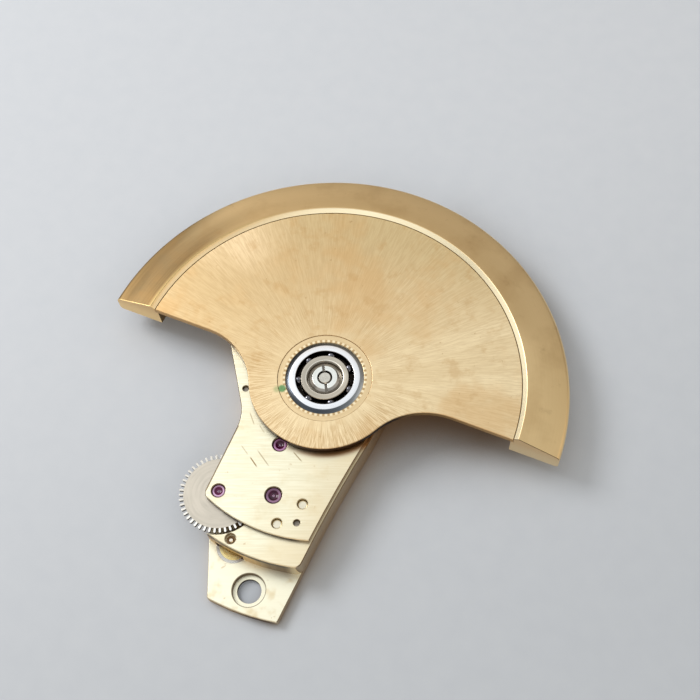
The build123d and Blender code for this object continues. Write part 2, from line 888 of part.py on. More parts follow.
clicks = [click_face(click_start_deg + index * 360 / click_count) for index in range(click_count)]
with BuildPart() as reverser_clicks:
    with BuildSketch(Plane.XY.offset(clutch_floor_z)):
        with Locations(reverser_at):
            add(clicks)
    extrude(amount=gear_top - clutch_floor_z - clutch_play)
save(reverser_clicks.part, "reverser_clicks")

with BuildPart() as reverser_cover:
    with BuildSketch(Plane.XY.offset(gear_top)):
        with Locations(reverser_at):
            Circle(clutch_lid_r)
            Circle(arbor_r, mode=Mode.SUBTRACT)
    extrude(amount=clutch_lid_t)
save(reverser_cover.part, "reverser_cover")

wheel_gap_deg = facing_gap(intermediate_at, reverser_at, intermediate_teeth)
intermediate_face = gear_face(intermediate_teeth, intermediate_r, wheel_gap_deg)
with BuildPart() as intermediate_wheel:
    with BuildSketch(Plane.XY.offset(low_wheel_z)):
        with Locations(intermediate_at):
            add(intermediate_face)
            Circle(arbor_r, mode=Mode.SUBTRACT)
            with PolarLocations(window_circle_r, window_count):
                Circle(window_r, mode=Mode.SUBTRACT)
    extrude(amount=wheel_t)
save(intermediate_wheel.part, "intermediate_wheel")

leaf_heading = heading(intermediate_at, winding_at)
intermediate_pinion = pinion(
    intermediate_at, intermediate_leaves, intermediate_leaf_r, leaf_heading,
    winding_z - leaf_overhang, winding_z + wheel_t + leaf_overhang,
)
save(intermediate_pinion, "intermediate_pinion")

winding_gap_deg = facing_gap(winding_at, intermediate_at, winding_teeth)
winding_face = gear_face(winding_teeth, winding_r, winding_gap_deg)
with BuildPart() as winding_wheel:
    with BuildSketch(Plane.XY.offset(winding_z)):
        with Locations(winding_at):
            add(winding_face)
            Circle(arbor_r, mode=Mode.SUBTRACT)
    extrude(amount=wheel_t)
save(winding_wheel.part, "winding_wheel")

with BuildPart() as winding_arbor:
    add(arbor(winding_at))
    with BuildSketch(Plane.XY.offset(winding_z - collar_t)):
        with Locations(winding_at):
            Circle(collar_r)
    extrude(amount=collar_t)
save(winding_arbor.part, "winding_arbor")

# Jewels

jewel_names = ["reverser", "intermediate", "winding_wheel"]
for name, (centre, radius) in zip(jewel_names, jewels_at):
    save(jewel(centre, radius, upper_jewel_z, True), f"{name}_upper_jewel")
    save(jewel(centre, radius, lower_jewel_z, False), f"{name}_lower_jewel")
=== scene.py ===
import math

import bpy
from mathutils import Matrix, Vector


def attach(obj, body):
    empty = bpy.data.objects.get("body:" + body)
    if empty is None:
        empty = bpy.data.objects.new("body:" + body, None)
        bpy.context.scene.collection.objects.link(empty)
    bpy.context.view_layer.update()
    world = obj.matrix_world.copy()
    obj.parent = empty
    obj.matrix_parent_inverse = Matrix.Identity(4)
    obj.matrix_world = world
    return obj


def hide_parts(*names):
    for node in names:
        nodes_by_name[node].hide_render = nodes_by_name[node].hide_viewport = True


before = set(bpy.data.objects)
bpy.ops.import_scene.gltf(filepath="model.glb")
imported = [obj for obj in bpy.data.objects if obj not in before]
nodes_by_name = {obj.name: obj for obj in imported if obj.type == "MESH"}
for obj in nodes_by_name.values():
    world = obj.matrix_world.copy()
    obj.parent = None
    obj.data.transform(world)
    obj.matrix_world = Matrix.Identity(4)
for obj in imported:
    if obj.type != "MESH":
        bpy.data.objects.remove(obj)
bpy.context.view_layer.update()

MM = 0.001

# Places on the part, in mm: x, y and, where there is a third, the radius
JEWELS = {"reverser": (-0.75, -4.04, 0.36), "intermediate": (0.07, -6.60, 0.41),
          "winding_wheel": (-2.57, -7.41, 0.33)}
WINDING_CENTRE = JEWELS["winding_wheel"][:2]
STUD_PLACE = (-1.02, -9.33)
SCREW_HOLES = ((1.59, -6.48, 0.27), (0.83, -7.85, 0.27), (1.72, -7.46, 0.175),
               (-3.69, -1.88, 0.175), (*STUD_PLACE, 0.28))
FIXING_HOLE = (0.60, -11.05)
PLATE_VERDIGRIS = (-2.00, -1.52)
BUSH_VERDIGRIS = (-1.79, -1.38)

# Scratches: x, y, half length, degrees and strength
SCRATCHES = ((-2.66, -3.29, 0.42, -47, 0.45), (-2.28, -4.98, 0.36, -32, 0.35),
             (-1.58, -5.40, 0.38, -33, 0.85), (-1.22, -5.03, 0.62, -32, 0.5),
             (0.36, -4.32, 0.40, -27, 0.65), (-1.95, -3.62, 0.30, -36, 0.3))
SCRATCH_WIDTH = 0.020

# Where the bridge's look changes, in mm: the height of the middle plate's face, a height just
# under the top plate's face, and the place of the bridge's right wall
MIDDLE_FACE_Z = (1.62, 1.70)
UNDER_TOP_Z = (1.9, 2.0)
RIGHT_WALL_X = (1.9, 2.7)

# Shared measures of the turned pieces, in mm
RIM_END_Y = 0.31
RIM_SEAM_R = (10.02, 10.05)
RIM_BEVEL_R = 10.165
STAKE_COUNT = 50
BALL_COUNT = 7
BALL_R = 0.275
BALL_CIRCLE_R = 1.37
BALL_Z = 2.25
GROOVE_R = 0.30
FIRST_BALL_DEG = -157.0
SHARP_DEG = 25


# Node helpers


def linear(tone):
    """Linear colour of an sRGB triple of 0 to 255. A socket or linear colour passes as it is."""
    if hasattr(tone, "is_output") or len(tone) != 3:
        return tone
    shares = [value / 255 for value in tone]
    return (*[share / 12.92 if share <= 0.04045 else ((share + 0.055) / 1.055) ** 2.4
              for share in shares], 1.0)


class Tree:
    """Short way to add shader nodes and links to one node tree."""

    def __init__(self, tree):
        self.nodes = tree.nodes
        self.links = tree.links

    def add(self, kind, inputs=None, **settings):
        """New node with its settings made and its inputs fed."""
        node = self.nodes.new(kind)
        for key, value in settings.items():
            setattr(node, key, value)
        for key, value in (inputs or {}).items():
            self.feed(node.inputs[key], value)
        return node

    def feed(self, socket, value):
        """Link an output to the socket, or set the socket's constant."""
        if hasattr(value, "is_output"):
            self.links.new(value, socket)
        else:
            socket.default_value = value

    def math(self, operation, first, second=0.0):
        node = self.add("ShaderNodeMath", {0: first, 1: second}, operation=operation)
        return node.outputs[0]

    def plus(self, first, second):
        return self.math("ADD", first, second)

    def minus(self, first, second):
        return self.math("SUBTRACT", first, second)

    def times(self, first, *others):
        for other in others:
            first = self.math("MULTIPLY", first, other)
        return first

    def length(self, x, y):
        squares = self.plus(self.times(x, x), self.times(y, y))
        return self.math("SQRT", squares)

    def ramp(self, value, low, high, start=0.0, end=1.0, smooth=True):
        """From start at the low value to end at the high one, held beyond both."""
        node = self.add("ShaderNodeMapRange", {
            "Value": value, "From Min": low, "From Max": high, "To Min": start, "To Max": end,
        }, clamp=True, interpolation_type="SMOOTHSTEP" if smooth else "LINEAR")
        return node.outputs["Result"]

    def fade(self, value, low, high, start=1.0, smooth=True):
        """From start at the low value to 0 at the high one."""
        return self.ramp(value, low, high, start, 0.0, smooth)

    def band(self, value, middle, half, soft):
        """1 where the value is within half of the middle, falling to 0 over soft."""
        away = self.math("ABSOLUTE", self.minus(value, middle))
        return self.fade(away, half, half + soft)

    def mix(self, share, first, second):
        """From the first tone at share 0 to the second at 1."""
        node = self.add("ShaderNodeMix", data_type="RGBA")
        self.feed(node.inputs[0], share)
        self.feed(node.inputs[6], linear(first))
        self.feed(node.inputs[7], linear(second))
        return node.outputs[2]

    def lay(self, base, *coats):
        """Base with each coat, a share and a tone, laid over it in turn."""
        for share, tone in coats:
            base = self.mix(share, base, tone)
        return base

    def vector(self, x, y, z):
        return self.add("ShaderNodeCombineXYZ", {0: x, 1: y, 2: z}).outputs[0]

    def noise(self, vector, scale, detail, rough):
        node = self.add("ShaderNodeTexNoise", {
            "Vector": vector, "Scale": scale, "Detail": detail, "Roughness": rough,
        })
        return node.outputs["Fac"]


def places(tree, centre=(0.0, 0.0)):
    """Object position in mm, and its radius and direction about a centre."""
    here = tree.add("ShaderNodeTexCoord").outputs["Object"]
    scaled = tree.add("ShaderNodeVectorMath", {0: here, "Scale": 1 / MM}, operation="SCALE")
    split = tree.add("ShaderNodeSeparateXYZ", {0: scaled.outputs[0]})
    x = tree.minus(split.outputs[0], centre[0])
    y = tree.minus(split.outputs[1], centre[1])
    radius = tree.length(x, y)
    above_zero = tree.math("MAXIMUM", radius, 0.001)
    return {"xyz": scaled.outputs[0], "x": x, "y": y, "z": split.outputs[2], "r": radius,
            "ux": tree.math("DIVIDE", x, above_zero), "uy": tree.math("DIVIDE", y, above_zero)}


def true_normal(tree):
    """The true surface's normal in the object's own axes, as x, y and z."""
    normal = tree.add("ShaderNodeNewGeometry").outputs["True Normal"]
    local = tree.add("ShaderNodeVectorTransform", {0: normal}, vector_type="NORMAL",
                     convert_from="WORLD", convert_to="OBJECT")
    return tree.add("ShaderNodeSeparateXYZ", {0: local.outputs[0]}).outputs


def up_share(tree):
    """How far the true surface faces upwards, from 0 to 1."""
    return true_normal(tree)[2]


def material(name, build):
    """Procedural material; build returns its shader inputs by socket name."""
    item = bpy.data.materials.new(name)
    item.use_nodes = True
    tree = Tree(item.node_tree)
    tree.nodes.clear()
    shader = tree.add("ShaderNodeBsdfPrincipled", build(tree))
    output = tree.add("ShaderNodeOutputMaterial")
    tree.links.new(shader.outputs[0], output.inputs["Surface"])
    return item


def bump(tree, height, distance_mm, strength, edge_mm):
    """Bumped normal over rounded edges."""
    edge = tree.add("ShaderNodeBevel", {"Radius": edge_mm * MM}, samples=4)
    node = tree.add("ShaderNodeBump", {
        "Height": height, "Strength": strength, "Distance": distance_mm * MM,
        "Normal": edge.outputs[0],
    })
    return node.outputs[0]


def distance(tree, at, x, y):
    """Distance in plan from a place."""
    return tree.length(tree.minus(at["x"], x), tree.minus(at["y"], y))


def turned_axes(tree, x, y, degrees, along_scale=1.0, across_scale=1.0):
    """How far a place lies along and across a line's direction, each times its scale."""
    cosine = math.cos(math.radians(degrees))
    sine = math.sin(math.radians(degrees))
    along = tree.plus(tree.times(x, cosine * along_scale), tree.times(y, sine * along_scale))
    across = tree.minus(tree.times(y, cosine * across_scale),
                        tree.times(x, sine * across_scale))
    return along, across


def scratch(tree, at, x, y, half, degrees, strength):
    """Its share on a thin straight scratch about a middle point, 0 elsewhere."""
    along, across = turned_axes(tree, tree.minus(at["x"], x), tree.minus(at["y"], y), degrees)
    return tree.times(tree.band(along, 0.0, half / 2, half / 2),
                      tree.band(across, 0.0, SCRATCH_WIDTH, SCRATCH_WIDTH), strength)


def ring_shade(tree, at, x, y, ring, lean):
    """Its share of painted shade on a ring round a place, stronger towards the upper left."""
    line = tree.band(distance(tree, at, x, y), *ring)
    upper_left = tree.minus(tree.minus(at["y"], y), tree.minus(at["x"], x))
    return tree.times(line, tree.ramp(upper_left, *lean))


# Looks of the large pieces. A ramp, fade or band takes a place in mm, a direction or a noise of
# 0 to 1, then gives a share. Tones are sRGB triples of 0 to 255.


def rotor_plate_look(tree):
    """Sunray-brushed plate, with stains and darker rays round the hub, a painted light gradient
    across the face, a painted highlight at the upper left, painted shade towards the far end and
    painted shade on its side walls round the hub.
    """
    at = places(tree)
    rays = tree.vector(at["ux"], at["uy"], tree.times(at["r"], 0.01))
    fine = tree.noise(rays, 120.0, 3.0, 0.65)
    broad = tree.noise(rays, 9.0, 2.0, 0.5)
    patch = tree.noise(at["xyz"], 0.26, 4.0, 0.6)
    cloud = tree.noise(at["xyz"], 0.9, 4.0, 0.6)
    spots = tree.noise(at["xyz"], 3.4, 3.0, 0.6)
    # along and upper_left carry painted light: a brightness gradient across the face, and a
    # painted highlight at the upper left.
    along = tree.minus(tree.times(at["x"], 0.75), tree.times(at["y"], 0.66))
    upper_left = tree.times(tree.fade(at["x"], -7.5, -4.5), tree.ramp(at["y"], 3.0, 6.0))
    hub_rays = tree.times(
        tree.ramp(at["r"], 2.4, 3.4), tree.fade(fine, 0.42, 0.58, 0.45),
        tree.ramp(at["y"], -0.5, 0.5, 1.0, 0.35), tree.ramp(at["r"], 3.9, 4.6, 1.0, 0.25))
    seam = tree.times(tree.ramp(at["r"], *RIM_SEAM_R), tree.ramp(at["uy"], 0.70, 0.92, 0.8, 0.1))
    face = tree.lay(
        tree.mix(tree.ramp(along, -7.5, 3.5), (214, 187, 142), (243, 222, 181)),
        (upper_left, (240, 214, 172)),
        # Painted shade: darker towards the far end of the plate.
        (tree.ramp(at["y"], 5.5, 9.8, end=0.7), (208, 187, 142)),
        (tree.fade(fine, 0.34, 0.66, 0.24), (176, 138, 88)),
        (tree.ramp(broad, 0.44, 0.64, end=0.25), (208, 180, 134)),
        (tree.ramp(patch, 0.48, 0.68, end=0.40), (208, 164, 106)),
        (tree.ramp(cloud, 0.54, 0.72, end=0.34), (190, 148, 92)),
        (tree.ramp(spots, 0.68, 0.76, end=0.45), (160, 116, 66)),
        (hub_rays, (176, 134, 80)),
        (tree.fade(distance(tree, at, *PLATE_VERDIGRIS), 0.08, 0.28, 0.5), (130, 156, 104)),
        (seam, (96, 66, 36)),
    )
    # Painted shade on the side walls: dark brown round the hub, paler elsewhere.
    wall = tree.mix(tree.ramp(at["y"], -1.0, 0.4), (58, 36, 20), (196, 156, 100))
    return {"Base Color": tree.mix(tree.ramp(up_share(tree), 0.3, 0.8), wall, face),
            "Metallic": 1.0, "Roughness": tree.ramp(fine, 0.2, 0.8, 0.34, 0.44),
            "Normal": bump(tree, fine, 0.0012, 0.4, 0.02)}


def rim_look(tree):
    """Turned rim with stains, with painted shade darkening the left end, the inner left top and
    the far top, painted light on its crest and outer edge near the left end, a painted highlight
    on its bright bevel, and painted reflections on its end faces and their lips.
    """
    at = places(tree)
    turned = tree.vector(tree.times(at["r"], 6.0), at["ux"], at["uy"])
    fine = tree.noise(turned, 4.0, 3.0, 0.6)
    patch = tree.noise(at["xyz"], 0.34, 4.0, 0.6)
    stain = tree.noise(at["xyz"], 1.1, 4.0, 0.62)
    upward = tree.ramp(up_share(tree), 0.3, 0.6)
    rightward = tree.ramp(at["x"], -1.0, 1.0)

    # Painted shade on the inner part of the top near the left end.
    inner = tree.times(tree.fade(at["r"], 10.5, 12.0, 0.85), tree.fade(at["x"], -10.0, -7.0))
    inner_tone = tree.mix(tree.ramp(at["x"], -11.5, -9.5), (82, 62, 34), (112, 88, 54))
    # Painted light on the outer edge at the left end.
    outer = tree.times(tree.ramp(at["r"], 11.6, 12.3, end=0.8),
                       tree.fade(at["x"], -11.3, -10.3))
    # Painted shade on the far top.
    crown = tree.times(tree.ramp(at["y"], 5.0, 7.0), tree.fade(at["r"], 10.5, 12.0, 0.4))
    # Painted light along the crest towards the left end.
    crest = tree.times(tree.fade(at["r"], 10.24, 10.50, 0.85), upward,
                       tree.fade(at["x"], -9.0, -5.0))
    # Painted highlight on the bevel, whiter towards the right.
    bevel = tree.times(tree.band(at["r"], RIM_BEVEL_R, 0.085, 0.04), upward)
    left_bevel = tree.mix(tree.ramp(at["r"], 10.14, 10.26), (255, 234, 190), (250, 218, 160))
    bevel_tone = tree.mix(tree.ramp(at["x"], -9.0, -3.0), left_bevel, (255, 248, 218))

    # Painted reflections on the end faces: tone set by the end, darker towards the top.
    ends = tree.fade(at["y"], RIM_END_Y + 0.002, RIM_END_Y + 0.008)
    end_tone = tree.lay(tree.mix(rightward, (243, 210, 148), (222, 200, 158)),
                        (tree.ramp(at["z"], 1.5, 2.6, end=0.6), (206, 166, 108)))
    # Painted highlight on the left end's top lip, painted shade on the right end's.
    lip = tree.times(tree.band(at["y"], RIM_END_Y + 0.018, 0.012, 0.006), upward, 0.9)
    lip_tone = tree.mix(rightward, (255, 226, 160), (58, 36, 20))

    base = tree.lay(
        # Painted shade: the rim darkens towards the left end.
        tree.mix(tree.ramp(at["x"], -12.6, -8.6), (72, 57, 34), (246, 216, 164)),
        (inner, inner_tone),
        (outer, (166, 138, 95)),
        (crown, (190, 158, 108)),
        (tree.ramp(at["x"], 8.0, 12.0), (244, 214, 160)),
        (tree.ramp(fine, 0.3, 0.7, end=0.12), (226, 194, 140)),
        (tree.ramp(patch, 0.46, 0.70, end=0.24), (182, 140, 84)),
        (tree.ramp(stain, 0.58, 0.80, end=0.24), (160, 114, 62)),
        (crest, (192, 166, 114)),
        (bevel, bevel_tone),
        (ends, end_tone),
        (lip, lip_tone),
    )
    satin = tree.math("MAXIMUM", tree.times(bevel, 0.35), tree.times(ends, 0.72))
    rough = tree.times(tree.ramp(fine, 0.2, 0.8, 0.36, 0.44),
                       tree.ramp(bevel, 0.0, 1.0, 1.0, 0.8))
    return {"Base Color": base, "Metallic": tree.minus(1.0, satin), "Roughness": rough,
            "Normal": bump(tree, fine, 0.0012, 0.4, 0.015)}


def bridge_look(tree):
    """Straight-brushed plates with stains and scratches, painted shade rings round their holes
    and jewels, and painted shade by the hub, along their edges, on their walls and towards the
    top plate's right side.
    """
    at = places(tree)
    brushed = tree.vector(*turned_axes(tree, at["x"], at["y"], 22, 0.35, 9.0), 0.0)
    fine = tree.noise(brushed, 1.6, 3.0, 0.6)
    patch = tree.noise(at["xyz"], 0.30, 3.0, 0.5)
    stain = tree.noise(at["xyz"], 0.85, 3.0, 0.6)
    spots = tree.noise(at["xyz"], 2.4, 3.0, 0.6)
    facing = true_normal(tree)
    upward = tree.ramp(facing[2], 0.3, 0.65)
    above_middle = tree.ramp(at["z"], *MIDDLE_FACE_Z)
    under_top = tree.ramp(at["z"], *UNDER_TOP_Z)
    right = tree.ramp(at["x"], *RIGHT_WALL_X)
    hole = distance(tree, at, *FIXING_HOLE)

    # Painted shade: the top plate darkens towards the right.
    right_shade = tree.times(tree.ramp(at["x"], 0.4, 2.9, end=0.3), above_middle)
    aged = tree.times(tree.ramp(stain, 0.52, 0.70, end=0.45),
                      tree.ramp(at["z"], 0.8, 1.2, 1.0, 0.35))
    # Painted shade on the edge of the fixing hole's counterbore.
    hole_lip_shade = tree.times(tree.band(hole, 0.835, 0.02, 0.015),
                          tree.fade(at["z"], 0.6, 0.7, 0.75))
    hub_shade = tree.times(tree.fade(at["r"], 3.98, 4.30, 0.85),
                           tree.ramp(at["ux"], -0.3, 0.5), above_middle)
    # Painted shade: dark lines along the top plate's left edge and on the right-facing edges.
    left_edge = tree.times(tree.fade(facing[0], -0.6, -0.4), tree.fade(at["x"], -2.95, -2.85),
                           under_top)
    left_strip = tree.times(tree.fade(at["x"], -3.13, -3.10), tree.fade(at["y"], -3.95, -3.85),
                            under_top)
    right_edge = tree.times(tree.ramp(facing[0], 0.4, 0.6), right)
    edge = tree.math("MAXIMUM", tree.math("MAXIMUM", left_edge, left_strip), right_edge)

    face = tree.lay(
        tree.mix(tree.ramp(fine, 0.35, 0.7), (233, 225, 196), (241, 236, 212)),
        (tree.ramp(patch, 0.45, 0.75, end=0.45), (240, 222, 184)),
        (tree.fade(at["z"], *MIDDLE_FACE_Z, 0.85), (243, 237, 212)),
        (right_shade, (214, 186, 140)),
        (aged, (206, 174, 112)),
        (tree.ramp(spots, 0.66, 0.76, end=0.45), (180, 142, 84)),
        *[(scratch(tree, at, *place), (136, 104, 52)) for place in SCRATCHES],
        # Painted shade rings round the jewels and screw holes, stronger towards the upper left.
        *[(ring_shade(tree, at, x, y, (radius + 0.02, 0.03, 0.01), (-0.3, 0.2, 0.35, 0.85)),
           (92, 70, 52)) for x, y, radius in JEWELS.values()],
        *[(ring_shade(tree, at, x, y, (radius, 0.02, 0.02), (-0.2, 0.2, 0.2, 0.6)),
           (140, 118, 90)) for x, y, radius in SCREW_HOLES],
        (hole_lip_shade, (96, 72, 44)),
        (hub_shade, (176, 108, 34)),
        (tree.times(edge, 0.85), (90, 64, 36)),
    )
    wall = tree.lay(
        tree.mix(tree.ramp(stain, 0.36, 0.64), (226, 188, 122), (176, 138, 82)),
        # Painted shade: the walls darken towards the right.
        (tree.ramp(at["x"], 0.0, 1.4, end=0.9), (98, 70, 34)),
        # Painted shade: the upper part of the walls is dark brown.
        (tree.ramp(at["z"], 1.32, 1.46, end=0.95), (58, 38, 20)),
        (right, (236, 214, 176)),
        # Painted shade on the upper part of the right walls.
        (tree.times(right, tree.ramp(at["z"], 1.66, 1.72)), (140, 116, 80)),
        # Painted shade in the fixing hole's counterbore.
        (tree.fade(hole, 0.80, 0.92), (70, 48, 28)),
        *[(tree.fade(distance(tree, at, x, y), radius + 0.03, radius + 0.06), (236, 222, 190))
          for x, y, radius in SCREW_HOLES],
    )
    polished = tree.times(right, tree.minus(1.0, upward))
    rough = tree.times(tree.ramp(fine, 0.2, 0.8, 0.30, 0.42),
                       tree.ramp(polished, 0.0, 1.0, 1.0, 0.35))
    return {"Base Color": tree.mix(upward, wall, face), "Metallic": 1.0, "Roughness": rough,
            "Normal": bump(tree, fine, 0.0015, 0.4, 0.025)}


# Looks of the turned pieces


def turned_look(light, dark, rough, centre=(0.0, 0.0), scale=14.0, contrast=1.0, extra=None):
    """Look of a piece turned about a centre, between two tones."""
    def build(tree):
        at = places(tree, centre)
        rings = tree.vector(tree.times(at["r"], scale), at["ux"], at["uy"])
        fine = tree.noise(rings, 1.0, 2.0, 0.6)
        patch = tree.noise(at["xyz"], 1.7, 2.0, 0.5)
        base = tree.lay(tree.mix(tree.ramp(fine, 0.3, 0.7, 1.0 - contrast), dark, light),
                        (tree.ramp(patch, 0.4, 0.8, end=0.3), dark))
        if extra:
            base = extra(tree, at, base)
        return {"Base Color": base, "Metallic": 1.0,
                "Roughness": tree.ramp(fine, 0.2, 0.8, rough - 0.05, rough + 0.07),
                "Normal": bump(tree, fine, 0.001, 0.3, 0.012)}
    return build


def ring_bands(tree, at, base):
    """Painted reflection on the turned bevel outside the bearing ring's pale face, and painted
    shade on its inner wall and on its parts below the face.
    """
    across = tree.plus(at["x"], at["y"])
    # Painted reflection: grey-blue towards the lower left, pale towards the upper right.
    bevel_tone = tree.mix(tree.ramp(across, -1.6, 3.0), (96, 102, 110), (190, 194, 196))
    return tree.lay(
        base,
        (tree.ramp(at["r"], 1.795, 1.815), bevel_tone),
        # Painted shade on the inner wall and on the parts below the face.
        (tree.fade(at["r"], 1.505, 1.53), (40, 40, 46)),
        (tree.fade(at["z"], 2.40, 2.50), (54, 54, 58)),
    )


def stake_marks(tree, at, base):
    """Staked dashes round the bush's inner edge, and a trace of verdigris."""
    angle = tree.math("ARCTAN2", at["y"], at["x"])
    wave = tree.math("COSINE", tree.times(angle, STAKE_COUNT))
    inner = tree.band(at["r"], 2.10, 0.055, 0.02)
    grain = tree.noise(at["xyz"], 9.0, 2.0, 0.5)
    return tree.lay(
        base,
        (tree.times(inner, tree.fade(wave, -0.6, 0.0, 0.75)), (176, 144, 100)),
        (tree.times(inner, tree.ramp(wave, -0.1, 0.5)), (242, 224, 188)),
        (tree.band(at["r"], 2.435, 0.012, 0.008), (150, 108, 60)),
        (tree.fade(distance(tree, at, *BUSH_VERDIGRIS), 0.14, 0.26, 0.9),
         tree.mix(grain, (46, 110, 66), (120, 170, 112))),
    )


def teeth_shade(tree, at, base):
    """Pale tops of the wheel's teeth with a painted highlight stronger towards the lower right,
    and painted shade on their flanks.
    """
    upward = tree.ramp(up_share(tree), 0.4, 0.7)
    lower_right = tree.ramp(tree.minus(at["ux"], at["uy"]), -0.5, 1.0)
    tops = tree.mix(lower_right, (204, 199, 190), (236, 234, 228))
    return tree.lay(base, (tree.ramp(at["r"], 1.80, 1.84),
                           tree.mix(upward, (110, 102, 92), tops)))


def screw_shade(tree, at, base):
    """Painted shade on the flank round the screw's bright face, in its middle hollow and on its
    slot floor.
    """
    return tree.lay(
        base,
        (tree.ramp(at["r"], 0.64, 0.66), (158, 156, 152)),
        (tree.fade(at["r"], 0.385, 0.40), (104, 96, 88)),
        (tree.fade(at["z"], 2.48, 2.50), (112, 106, 98)),
    )


def dish_shade(tree, at, base):
    """Painted light on the floor of the dish inside the cone's flat face."""
    return tree.lay(base, (tree.fade(at["r"], 0.96, 1.02), (236, 230, 218)))


def stud_shade(tree, at, base):
    """Painted shade on the shoulder and a painted highlight on the tip, above the stud's golden
    head.
    """
    above_head = tree.ramp(at["z"], 0.6, 0.8)
    # The painted highlight sits off the tip's middle, towards the lower right.
    tip = tree.times(tree.fade(distance(tree, at, 0.03, -0.04), 0.08, 0.11), above_head)
    return tree.lay(base, (above_head, (130, 104, 76)), (tip, (236, 226, 210)))


def ruby_look(radius, centre, edge, heart):
    """Ruby with a lilac bevelled edge round a dark oil cup; painted light makes the edge
    stronger towards the lower right, and a painted shade rim darkens its outside towards the
    upper left.
    """
    def build(tree):
        at = places(tree, centre)
        grain = tree.noise(at["xyz"], 3.0, 2.0, 0.5)
        share = tree.math("DIVIDE", at["r"], radius)
        upper_left = tree.minus(at["uy"], at["ux"])
        ring = tree.times(tree.band(share, 0.78, 0.09, 0.06),
                          tree.ramp(upper_left, -0.4, 1.2, 1.0, 0.4))
        outside = tree.times(tree.ramp(share, 0.90, 0.95),
                             tree.ramp(upper_left, -0.9, 0.5, 0.4, 1.0))
        base = tree.lay(tree.mix(tree.ramp(grain, 0.3, 0.9, end=0.5), heart, (120, 34, 84)),
                        (ring, edge), (outside, (40, 18, 34)))
        return {"Base Color": base, "Metallic": 0.0,
                "Roughness": tree.ramp(grain, 0.0, 1.0, 0.06, 0.13),
                "Specular IOR Level": 0.4, "Coat Weight": 0.1, "Coat Roughness": 0.04}
    return build


# Each turned metal's light and dark tone, roughness and further settings of its look
TURNED_METALS = {
    "bush_metal": ((228, 203, 160), (214, 186, 142), 0.34,
                   {"contrast": 0.6, "extra": stake_marks}),
    "ring_metal": ((244, 244, 246), (226, 226, 230), 0.2,
                   {"contrast": 0.5, "extra": ring_bands}),
    "cone_metal": ((192, 184, 170), (172, 164, 150), 0.3,
                   {"contrast": 0.6, "extra": dish_shade}),
    "screw_metal": ((238, 238, 232), (214, 214, 208), 0.2,
                    {"contrast": 0.5, "extra": screw_shade}),
    "pin_metal": ((206, 202, 192), (176, 172, 162), 0.3, {"contrast": 0.5}),
    # Painted shade: the balls' steel is darkened so that they read dark in the bearing's gap.
    "ball_metal": ((122, 122, 128), (96, 96, 102), 0.07, {}),
    # Painted shade: the ball cage and lower cone are near black, standing for the shade in the
    # bearing's gap.
    "gap_shade_metal": ((52, 46, 40), (30, 26, 22), 0.5, {}),
    "pin_dark": ((150, 142, 132), (96, 90, 82), 0.4, {}),
    "wheel_metal": ((192, 184, 171), (182, 174, 160), 0.34,
                    {"centre": WINDING_CENTRE, "scale": 8.0, "contrast": 0.5,
                     "extra": teeth_shade}),
    "brass_metal": ((222, 190, 128), (188, 152, 92), 0.3, {}),
    "stud_metal": ((255, 238, 176), (238, 208, 134), 0.25,
                   {"centre": STUD_PLACE, "extra": stud_shade}),
    "steel_metal": ((226, 222, 214), (186, 182, 174), 0.25, {}),
    "tip_metal": ((226, 219, 198), (214, 206, 184), 0.36, {"scale": 3.0, "contrast": 0.4}),
    "pivot_metal": ((170, 140, 158), (120, 96, 112), 0.2, {}),
}
# Each ruby's tones: its edge and its heart
RUBY_TONES = {
    "reverser": ((184, 130, 174), (56, 12, 38)),
    "intermediate": ((146, 108, 138), (44, 8, 32)),
    "winding_wheel": ((214, 176, 210), (74, 14, 56)),
}
metals = {
    "rotor_plate_metal": material("rotor_plate_metal", rotor_plate_look),
    "rotor_rim_metal": material("rotor_rim_metal", rim_look),
    "bridge_metal": material("bridge_metal", bridge_look),
}
for name, (light, dark, rough, further) in TURNED_METALS.items():
    metals[name] = material(name, turned_look(light, dark, rough, **further))
rubies = {
    name: material(f"{name}_ruby", ruby_look(radius, (x, y), *RUBY_TONES[name]))
    for name, (x, y, radius) in JEWELS.items()
}

# Each node's metal; the nodes not named here are the rubies
NODE_METALS = {
    "rotor_plate": "rotor_plate_metal", "rotor_rim": "rotor_rim_metal",
    "hub_bush": "bush_metal", "bearing_outer_ring": "ring_metal",
    "bearing_balls": "ball_metal", "ball_cage": "gap_shade_metal",
    "bearing_upper_cone": "cone_metal", "bearing_lower_cone": "gap_shade_metal",
    "bearing_screw": "screw_metal", "centre_pin": "pin_metal", "bearing_post": "steel_metal",
    "top_plate": "bridge_metal", "middle_plate": "bridge_metal", "base_plate": "bridge_metal",
    "winding_wheel": "wheel_metal", "winding_arbor": "pivot_metal",
    "rotor_gear": "brass_metal", "reverser_wheel": "brass_metal",
    "reverser_cover": "brass_metal", "reverser_pinion": "pivot_metal",
    "reverser_clicks": "steel_metal", "intermediate_wheel": "brass_metal",
    "intermediate_pinion": "pivot_metal", "plate_screws": "tip_metal",
    "through_screws": "steel_metal", "steady_pins": "pin_dark",
    "steady_stud": "stud_metal", "stud_ring": "steel_metal",
}
for name, item in nodes_by_name.items():
    if name in NODE_METALS:
        look = metals[NODE_METALS[name]]
    else:
        look = rubies[name.replace("_upper_jewel", "").replace("_lower_jewel", "")]
    item.data.materials.clear()
    item.data.materials.append(look)


# Turned pieces, smoother than the frame's


def corner_deg(before, here, after):
    """Turn of a section's outline at one of its points."""
    first = Vector((here[0] - before[0], here[1] - before[1]))
    second = Vector((after[0] - here[0], after[1] - here[1]))
    return math.degrees(first.angle(second))


